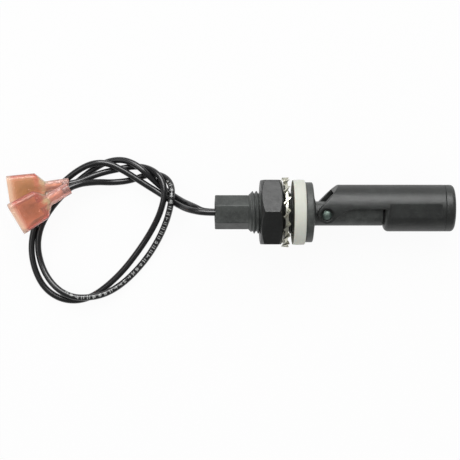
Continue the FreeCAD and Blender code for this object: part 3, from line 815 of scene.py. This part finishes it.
def thread_groove():
    """The helical groove between the turns of the shank's thread, as a solid to cut out."""
    size = settings("moulding_sizes")
    pitch = size.thread_pitch / MM
    depth = size.thread_depth / MM
    root_half = 0.10 * pitch
    crest_half = 0.43 * pitch
    above = 0.35
    start_x = -SHANK_LENGTH - 0.2 * pitch
    turns = (SHANK_LENGTH - GASKET_THICKNESS / 2) / pitch
    steps_per_turn = 72
    section = [
        (start_x - crest_half, SHANK_R + above), (start_x - crest_half, SHANK_R),
        (start_x - root_half, SHANK_R - depth), (start_x + root_half, SHANK_R - depth),
        (start_x + crest_half, SHANK_R), (start_x + crest_half, SHANK_R + above),
    ]
    bm = bmesh.new()
    verts = [bm.verts.new((x, 0, r)) for x, r in section]
    edges = [bm.edges.new(pair) for pair in zip(verts, verts[1:] + verts[:1])]
    steps = int(turns * steps_per_turn)
    bmesh.ops.spin(bm, geom=verts + edges, cent=(0, 0, 0), axis=(1, 0, 0),
                   dvec=(pitch / steps_per_turn, 0, 0), angle=FULL_TURN * steps / steps_per_turn,
                   steps=steps, use_merge=False, use_duplicate=False)
    ends = [edge for edge in bm.edges if len(edge.link_faces) == 1]
    bmesh.ops.holes_fill(bm, edges=ends)
    bmesh.ops.recalc_face_normals(bm, faces=bm.faces)
    bm.transform(ROLLED @ Matrix.Scale(MM, 4))
    return object_from("groove", bm)


class ProbeStage(bpy.types.Operator):
    """The white table, the lamps, the sky and the camera over the probe."""

    bl_idname = "float_probe.stage"
    bl_label = "Add stage"

    def execute(self, context):
        scene = context.scene
        scene.view_settings.view_transform = "Standard"
        stage = settings("stage_settings")
        self.add_camera(scene, stage)
        self.add_table(stage)
        self.add_lamps(stage)
        self.add_sky(scene, stage)
        return {"FINISHED"}

    def add_camera(self, scene, stage):
        data = bpy.data.cameras.new("camera")
        data.sensor_fit = "HORIZONTAL"
        data.angle = 2 * math.atan(stage.view_width / 2 / stage.distance)
        data.clip_start = 0.01
        camera = bpy.data.objects.new("camera", data)
        lean = Matrix.Rotation(stage.lean, 3, "Y")
        camera.location = Vector(stage.aim) + lean @ Vector((0, 0, stage.distance))
        camera.rotation_euler = lean.to_euler()
        scene.collection.objects.link(camera)
        scene.camera = camera

    def add_table(self, stage):
        bm = bmesh.new()
        bmesh.ops.create_grid(bm, x_segments=2, y_segments=2, size=stage.table_size / 2)
        table = object_from("table", bm)
        table.location.z = -0.02 * MM
        finish = Finish("table_white", Specular_IOR_Level=0.1)
        cloud = finish.noise(0.2, 2.0)
        finish.feed(Base_Color=finish.blend(cloud, (0.74, 0.74, 0.74, 1), (0.76, 0.76, 0.76, 1)),
                    Roughness=0.7 + cloud * 0.05)
        tree = finish.tree
        seen, glossy, through = ray_kinds(tree)
        glow = finish.node("Emission", Color=(1, 1, 1, 1), Strength=1.0)
        mix = tree.nodes.new("ShaderNodeMixShader")
        shown = seen * TABLE_SHOWN + glossy * TABLE_GLOSS + through * TABLE_SHOWN
        connect(tree, shown, mix.inputs[0])
        tree.links.new(finish.shader.outputs[0], mix.inputs[1])
        tree.links.new(glow.socket, mix.inputs[2])
        tree.links.new(mix.outputs[0], tree.nodes["Material Output"].inputs["Surface"])
        table.data.materials.append(finish.material)

    def add_lamps(self, stage):
        aim = Vector(stage.aim)
        for name, power, place, size in (
            ("key", stage.key_power, KEY_PLACE, KEY_SIZE),
            ("side", stage.side_power, SIDE_PLACE, SIDE_SIZE),
        ):
            data = bpy.data.lights.new(name, "AREA")
            data.energy = power
            data.shape = "SQUARE"
            data.size = size
            lamp = bpy.data.objects.new(name, data)
            lamp.location = aim + Vector(place)
            lamp.rotation_euler = Vector(place).to_track_quat("Z", "Y").to_euler()
            bpy.context.scene.collection.objects.link(lamp)

    def add_sky(self, scene, stage):
        world = bpy.data.worlds.new("sky")
        scene.world = world
        world.use_nodes = True
        tree = world.node_tree
        background = tree.nodes["Background"]
        seen, glossy, through = ray_kinds(tree)
        shown = (seen + through).held()
        way = tree.nodes.new("ShaderNodeTexCoord")
        patch = Socket(tree, way.outputs["Generated"]).dot(Vector(KEY_PLACE).normalized())
        parts = tree.nodes.new("ShaderNodeSeparateXYZ")
        tree.links.new(way.outputs["Generated"], parts.inputs[0])
        beyond = Socket(tree, parts.outputs["Y"])
        height = Socket(tree, parts.outputs["Z"])
        rise = (height * 0.8 + beyond * 0.4).held()
        dull = stage.sky_low + rise * stage.sky_high
        bright = ((patch - PATCH_FROM) / PATCH_SPREAD).held() * stage.gloss_key
        shiny = stage.gloss_low + rise * stage.gloss_high + bright
        strength = shown + (1.0 - shown) * (dull * (1.0 - glossy) + shiny * glossy)
        tree.links.new(strength.socket, background.inputs["Strength"])
        background.inputs["Color"].default_value = (1, 1, 1, 1)


class ProbeLeads(bpy.types.Operator):
    """The two leads, smooth through the points of their routes. They come after the
    terminals, which are pieces on them."""

    bl_idname = "float_probe.leads"
    bl_label = "Add leads"

    def execute(self, context):
        diameter = settings("lead_sizes").diameter
        for letter, route, length, printed in (
            ("a", LEAD_A_ROUTE, LEAD_A_LENGTH, False),
            ("b", LEAD_B_ROUTE, LEAD_B_LENGTH, True),
        ):
            line = self.route_curve("lead_" + letter, route)
            path = self.line_points(line)
            piece = self.tube(line, diameter)
            self.keep_places(piece, path)
            paint = lead_insulation("lead_black_" + letter, printed)
            dressed(shaded(piece), paint, "lead_insulation", "probe", "lead_wire_" + letter)
        return {"FINISHED"}

    def route_curve(self, name, route):
        curve = bpy.data.curves.new(name, "CURVE")
        curve.dimensions = "3D"
        curve.resolution_u = 14
        curve.twist_mode = "Z_UP"
        spline = curve.splines.new("NURBS")
        spline.points.add(len(route) - 1)
        for point, place in zip(spline.points, route):
            point.co = (*place, 1.0)
        spline.order_u = 3
        spline.use_endpoint_u = True
        line = bpy.data.objects.new(name, curve)
        bpy.context.scene.collection.objects.link(line)
        return line

    def line_points(self, line):
        bpy.context.view_layer.update()
        graph = bpy.context.evaluated_depsgraph_get()
        mesh = bpy.data.meshes.new_from_object(line.evaluated_get(graph))
        points = [tuple(vert.co) for vert in mesh.vertices]
        bpy.data.meshes.remove(mesh)
        return points

    def tube(self, line, diameter):
        line.data.bevel_depth = diameter / 2
        line.data.bevel_resolution = 6
        line.data.use_fill_caps = True
        bpy.context.view_layer.update()
        graph = bpy.context.evaluated_depsgraph_get()
        mesh = bpy.data.meshes.new_from_object(line.evaluated_get(graph))
        name = line.name
        bpy.data.objects.remove(line)
        return add_object(name, mesh)

    def keep_places(self, piece, path):
        """Keeps how far along, across and above the lead's line each vertex is."""
        line = [Vector(point) for point in path]
        tree = KDTree(len(line))
        gone = [0.0]
        for n, point in enumerate(line):
            tree.insert(point, n)
            if n:
                gone.append(gone[-1] + (point - line[n - 1]).length)
        tree.balance()
        kept = piece.data.attributes.new("on_lead", "FLOAT_VECTOR", "POINT")
        for vert, item in zip(piece.data.vertices, kept.data):
            n = tree.find(vert.co)[1]
            ahead = (line[min(n + 1, len(line) - 1)] - line[max(n - 1, 0)]).normalized()
            side = Vector((0, 0, 1)).cross(ahead).normalized()
            arm = vert.co - line[n]
            turn = Matrix.Rotation(self.print_turn(gone[n]), 2)
            across, above = turn @ Vector((arm.dot(side), arm.dot(ahead.cross(side))))
            item.vector = (gone[n] + arm.dot(ahead), across, above)

    def print_turn(self, along):
        outside = max(PRINT_FROM - along, along - PRINT_TO, 0.0)
        return min(outside / PRINT_TURN_LENGTH, PRINT_MOST_TURN)


class ProbeBody(bpy.types.Operator):
    """The moulded body, relieved on top of the stem's root, with the turns of its thread."""

    bl_idname = "float_probe.body"
    bl_label = "Add body"

    def execute(self, context):
        size = settings("moulding_sizes")
        body = copy_of("probe_body", "body_moulding")
        combined(body, block(*STEM_ROOT_FILL), "UNION")
        combined(body, block(*STEM_ROOT_CUT), "DIFFERENCE")
        eased(body, size.edge_grain, size.edge_rounds, keep=0.42)
        combined(body, thread_groove(), "DIFFERENCE")
        paint = moulded_plastic("body_black", lift=1.6, bloom=1.3, rough=0.37)
        dressed(shaded(body), paint, "body_plastic", "probe", "probe_body")
        return {"FINISHED"}


class ProbeNut(bpy.types.Operator):
    """The thin nut."""

    bl_idname = "float_probe.nut"
    bl_label = "Add nut"

    def execute(self, context):
        size = settings("moulding_sizes")
        nut = copy_of("hex_nut", "thin_nut")
        eased(nut, size.edge_grain, 4, keep=0.35)
        paint = moulded_plastic("nut_black", lift=0.8, bloom=0.3, rough=0.32)
        dressed(shaded(nut), paint, "nut_plastic", "probe", "hex_nut")
        return {"FINISHED"}


class ProbeWasher(bpy.types.Operator):
    """The toothed lock washer: a flat ring with a thin rim and twisted teeth."""

    bl_idname = "float_probe.washer"
    bl_label = "Add lock washer"

    def execute(self, context):
        half = WASHER_HALF_THICKNESS
        rim = rounded([
            (WASHER_X - half, WASHER_BORE_R, 0.1), (WASHER_X - half, WASHER_RIM_R, 0.15),
            (WASHER_X + half, WASHER_RIM_R, 0.15), (WASHER_X + half, WASHER_BORE_R, 0.1),
        ], 3)
        bm = turned(rim, settings("moulding_sizes").turned_steps, Matrix())
        self.add_teeth(bm)
        bm.transform(UPRIGHT)
        washer = object_from("toothed_washer", bm)
        paint = bright_metal("washer_bright", (0.66, 0.66, 0.57), 0.26, warm=0.8)
        dressed(shaded(washer, WASHER_SHARP_ANGLE), paint, "washer_steel", "probe", "lock_washer")
        return {"FINISHED"}

    def add_teeth(self, bm):
        """Adds the teeth round the rim. Each is a blade that starts in the rim's plane and
        twists about its own length on the way out."""
        reach = TOOTH_TO - TOOTH_FROM
        tooth = bmesh.new()
        bmesh.ops.create_cube(tooth, size=1.0)
        along = [edge for edge in tooth.edges
                 if abs(edge.verts[0].co.y - edge.verts[1].co.y) > 0.5]
        bmesh.ops.subdivide_edges(tooth, edges=along, cuts=5, use_grid_fill=True)
        bmesh.ops.scale(tooth, verts=tooth.verts, vec=(TOOTH_THICKNESS, reach, TOOTH_LENGTH))
        for vert in tooth.verts:
            out = vert.co.y / reach + 0.5
            vert.co.z *= 1.0 - TOOTH_TAPER * out
            vert.co = Matrix.Rotation(TOOTH_TWIST * out, 3, "Y") @ vert.co
        middle = (TOOTH_FROM + TOOTH_TO) / 2
        bmesh.ops.translate(tooth, verts=tooth.verts, vec=(WASHER_X, middle, 0))
        bmesh.ops.rotate(tooth, verts=tooth.verts, cent=(0, 0, 0),
                         matrix=Matrix.Rotation(WASHER_TURN, 3, "X"))
        bmesh.ops.spin(tooth, geom=tooth.verts[:] + tooth.edges[:] + tooth.faces[:],
                       cent=(0, 0, 0), axis=(1, 0, 0), dvec=(0, 0, 0),
                       angle=FULL_TURN * (WASHER_TEETH - 1) / WASHER_TEETH,
                       steps=WASHER_TEETH - 1, use_duplicate=True)
        bmesh.ops.recalc_face_normals(tooth, faces=tooth.faces)
        tooth.transform(Matrix.Scale(MM, 4))
        mesh = bpy.data.meshes.new("teeth")
        tooth.to_mesh(mesh)
        tooth.free()
        bm.from_mesh(mesh)
        bpy.data.meshes.remove(mesh)


class ProbeGasket(bpy.types.Operator):
    """The soft gasket: crisp towards the washer, rounder towards the flange."""

    bl_idname = "float_probe.gasket"
    bl_label = "Add gasket"

    def execute(self, context):
        profile = rounded([
            (0.0, GASKET_BORE_R, 0.1),
            (0.0, GASKET_R - 0.1, 0.55),
            (-GASKET_THICKNESS * 0.4, GASKET_R, 0.0),
            (-GASKET_THICKNESS * 0.75, GASKET_R, 0.0),
            (-GASKET_THICKNESS, GASKET_R - 0.12, 0.3),
            (-GASKET_THICKNESS, GASKET_BORE_R, 0.1),
        ])
        bm = turned(profile, settings("moulding_sizes").turned_steps, UPRIGHT)
        gasket = object_from("gasket_ring", bm)
        dressed(shaded(gasket), gasket_rubber(), "gasket_rubber", "probe", "gasket")
        return {"FINISHED"}


class ProbeFloat(bpy.types.Operator):
    """The float and its welded end cap."""

    bl_idname = "float_probe.float"
    bl_label = "Add float"

    def execute(self, context):
        size = settings("moulding_sizes")
        paint = moulded_plastic("float_black", lift=1.05, bloom=0.6)
        shell = copy_of("float_body", "float_shell")
        eased(shell, size.edge_grain, size.edge_rounds, keep=0.4)
        dressed(shaded(shell), paint, "float_plastic", "float", "float_body")
        cap = copy_of("float_cap", "float_end")
        eased(cap, size.edge_grain, 4, keep=0.4)
        dressed(shaded(cap), paint, "float_plastic", "float", "float_cap")
        return {"FINISHED"}


class ProbePin(bpy.types.Operator):
    """The hinge pin."""

    bl_idname = "float_probe.pin"
    bl_label = "Finish pin"

    def execute(self, context):
        pin = copy_of("pivot_pin", "hinge_pin")
        eased(pin, PIN_GRAIN * MM, 3, keep=0.5)
        paint = bright_metal("pin_dark_steel", (0.20, 0.26, 0.235), 0.44)
        dressed(shaded(pin), paint, "pin_steel", "probe", "pivot_pin")
        return {"FINISHED"}


class ProbeTerminals(bpy.types.Operator):
    """The insulated push-on terminals."""

    bl_idname = "float_probe.terminals"
    bl_label = "Add terminals"

    def execute(self, context):
        tint = settings("probe_colours")
        sockets = {mount["name"]: mount for mount in frame["record"]["mounts"]}
        brass = bright_metal("contact_brass", (0.80, 0.70, 0.42), 0.3, warm=1.0)
        # Each cover's tint, and the contact's colour painted on it as if seen through the nylon
        for letter, shade, through, slot in (
            ("a", tint.cover_rear, PAINTED_CONTACT_REAR, "cover_rear"),
            ("b", tint.cover_front, PAINTED_CONTACT_FRONT, "cover_front"),
        ):
            socket = sockets["tab_socket_" + letter]
            cover = copy_of("terminal_cover_" + letter, "nylon_cover_" + letter)
            eased(cover, COVER_GRAIN * MM, 3, keep=0.5)
            self.crimp(cover, socket)
            paint = nylon("nylon_" + letter, shade, through, socket)
            dressed(shaded(cover), paint, slot, "probe", "terminal_cover_" + letter)
            repaint("terminal_contact_" + letter, brass)
        return {"FINISHED"}

    def crimp(self, cover, socket):
        """Presses the crimping tool's two dents into the outside of the barrel."""
        out = Vector(socket["axis"]).normalized()
        side = Vector((0, 0, 1)).cross(out).normalized()
        up = out.cross(side)
        mouth = Vector(socket["pos_m"])
        for vert in cover.data.vertices:
            arm = vert.co - mouth
            height = arm.dot(up)
            if height < COVER_BARREL_INNER:
                continue
            across = arm.dot(side) / CRIMP_HALF_WIDTH
            for back in CRIMP_PLACES:
                along = (arm.dot(out) + back) / CRIMP_HALF_LENGTH
                press = max(0.0, 1.0 - along * along) * max(0.0, 1.0 - across * across)
                vert.co -= up * (CRIMP_DEPTH * press)


class ProbeInside(bpy.types.Operator):
    """The finishes of the pieces that show little or not at all."""

    bl_idname = "float_probe.inside"
    bl_label = "Finish inner pieces"

    def execute(self, context):
        copper = bright_metal("core_copper", (0.80, 0.45, 0.30), 0.3, warm=1.0)
        reed = bright_metal("reed_bright", (0.70, 0.68, 0.64), 0.25)
        tinned = bright_metal("tinned", (0.70, 0.71, 0.72), 0.35)
        plug = moulded_plastic("plug_black")
        for node in ("lead_core_a", "lead_core_b", "terminal_core_a", "terminal_core_b"):
            repaint(node, copper)
        for node in ("reed_lead_rear", "reed_lead_front"):
            repaint(node, reed)
        for node in ("splice_a", "splice_b"):
            repaint(node, tinned)
        repaint("reed_glass", clear_glass())
        repaint("potting", resin())
        repaint("float_magnet", magnet_ferrite())
        repaint("magnet_plug", plug)
        return {"FINISHED"}


def repaint(node, material):
    """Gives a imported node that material."""
    mesh = frame["nodes"][node].data
    mesh.materials.clear()
    mesh.materials.append(material)


class PROBE_PT_panel(bpy.types.Panel):
    """Lists the steps of the dressing."""

    bl_idname = "PROBE_PT_panel"
    bl_label = "Float Probe"
    bl_space_type = "VIEW_3D"
    bl_region_type = "UI"
    bl_category = "Float Probe"

    def draw(self, context):
        for step in STEPS:
            self.layout.operator(step.bl_idname)


STEPS = (ProbeStage, ProbeTerminals, ProbeLeads, ProbeBody, ProbeNut, ProbeWasher, ProbeGasket,
         ProbeFloat, ProbePin, ProbeInside)
GROUPS = (
    ("moulding_sizes", MouldingSizes),
    ("lead_sizes", LeadSizes),
    ("probe_colours", ProbeColours),
    ("stage_settings", StageSettings),
)


def register():
    for name, group in GROUPS:
        bpy.utils.register_class(group)
        setattr(bpy.types.Scene, name, PointerProperty(type=group))
    for step in STEPS:
        bpy.utils.register_class(step)
    bpy.utils.register_class(PROBE_PT_panel)


def unregister():
    bpy.utils.unregister_class(PROBE_PT_panel)
    for step in reversed(STEPS):
        bpy.utils.unregister_class(step)
    for name, group in reversed(GROUPS):
        delattr(bpy.types.Scene, name)
        bpy.utils.unregister_class(group)


def main():
    register()
    bpy.ops.float_probe.stage()
    bpy.ops.float_probe.terminals()
    bpy.ops.float_probe.leads()
    bpy.ops.float_probe.body()
    bpy.ops.float_probe.nut()
    bpy.ops.float_probe.washer()
    bpy.ops.float_probe.gasket()
    bpy.ops.float_probe.float()
    bpy.ops.float_probe.pin()
    bpy.ops.float_probe.inside()


if __name__ == "__main__":
    main()
